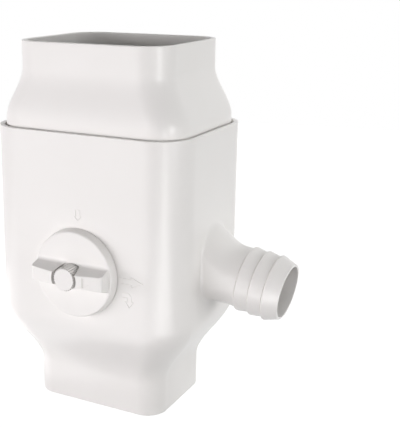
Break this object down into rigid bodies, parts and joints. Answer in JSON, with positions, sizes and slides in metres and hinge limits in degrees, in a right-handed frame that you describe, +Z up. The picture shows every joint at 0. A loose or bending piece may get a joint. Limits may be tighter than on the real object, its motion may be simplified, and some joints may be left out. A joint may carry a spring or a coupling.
{
  "type": "rainwater diverter",
  "caption": "White plastic downpipe rainwater diverter with rectangular inlet collar, tapered outlet spigot, tilted hose barb and a winged front knob that turns an inner flap.",
  "frame": {"origin": "centre of the outlet spigot's lower rim, on the downpipe's axis", "axes": "+Z up the downpipe towards the inlet, +X towards the hose barb, -Y towards the knob"},
  "size_m": [0.1927, 0.1255, 0.242],
  "materials": {
    "housing_plastic": "satin moulded",
    "knob_plastic": "satin moulded",
    "spindle_plastic": "matte moulded",
    "flap_plastic": "matte moulded",
    "seal_rubber": "matte",
    "screw_steel": "satin"
  },
  "bodies": {
    "housing": {"body": "housing_plastic", "inlet_collar": "housing_plastic"},
    "valve": {"spindle": "spindle_plastic", "spindle_o_ring": "seal_rubber", "flap": "flap_plastic", "flap_screws": "screw_steel", "knob": "knob_plastic"}
  },
  "joints": [
    {"name": "valve_turn", "type": "hinge", "parent": "housing", "child": "valve", "pos_m": [0, -0.054, 0.1], "axis": [0, -1, 0], "range_deg": [0, 90]}
  ]
}
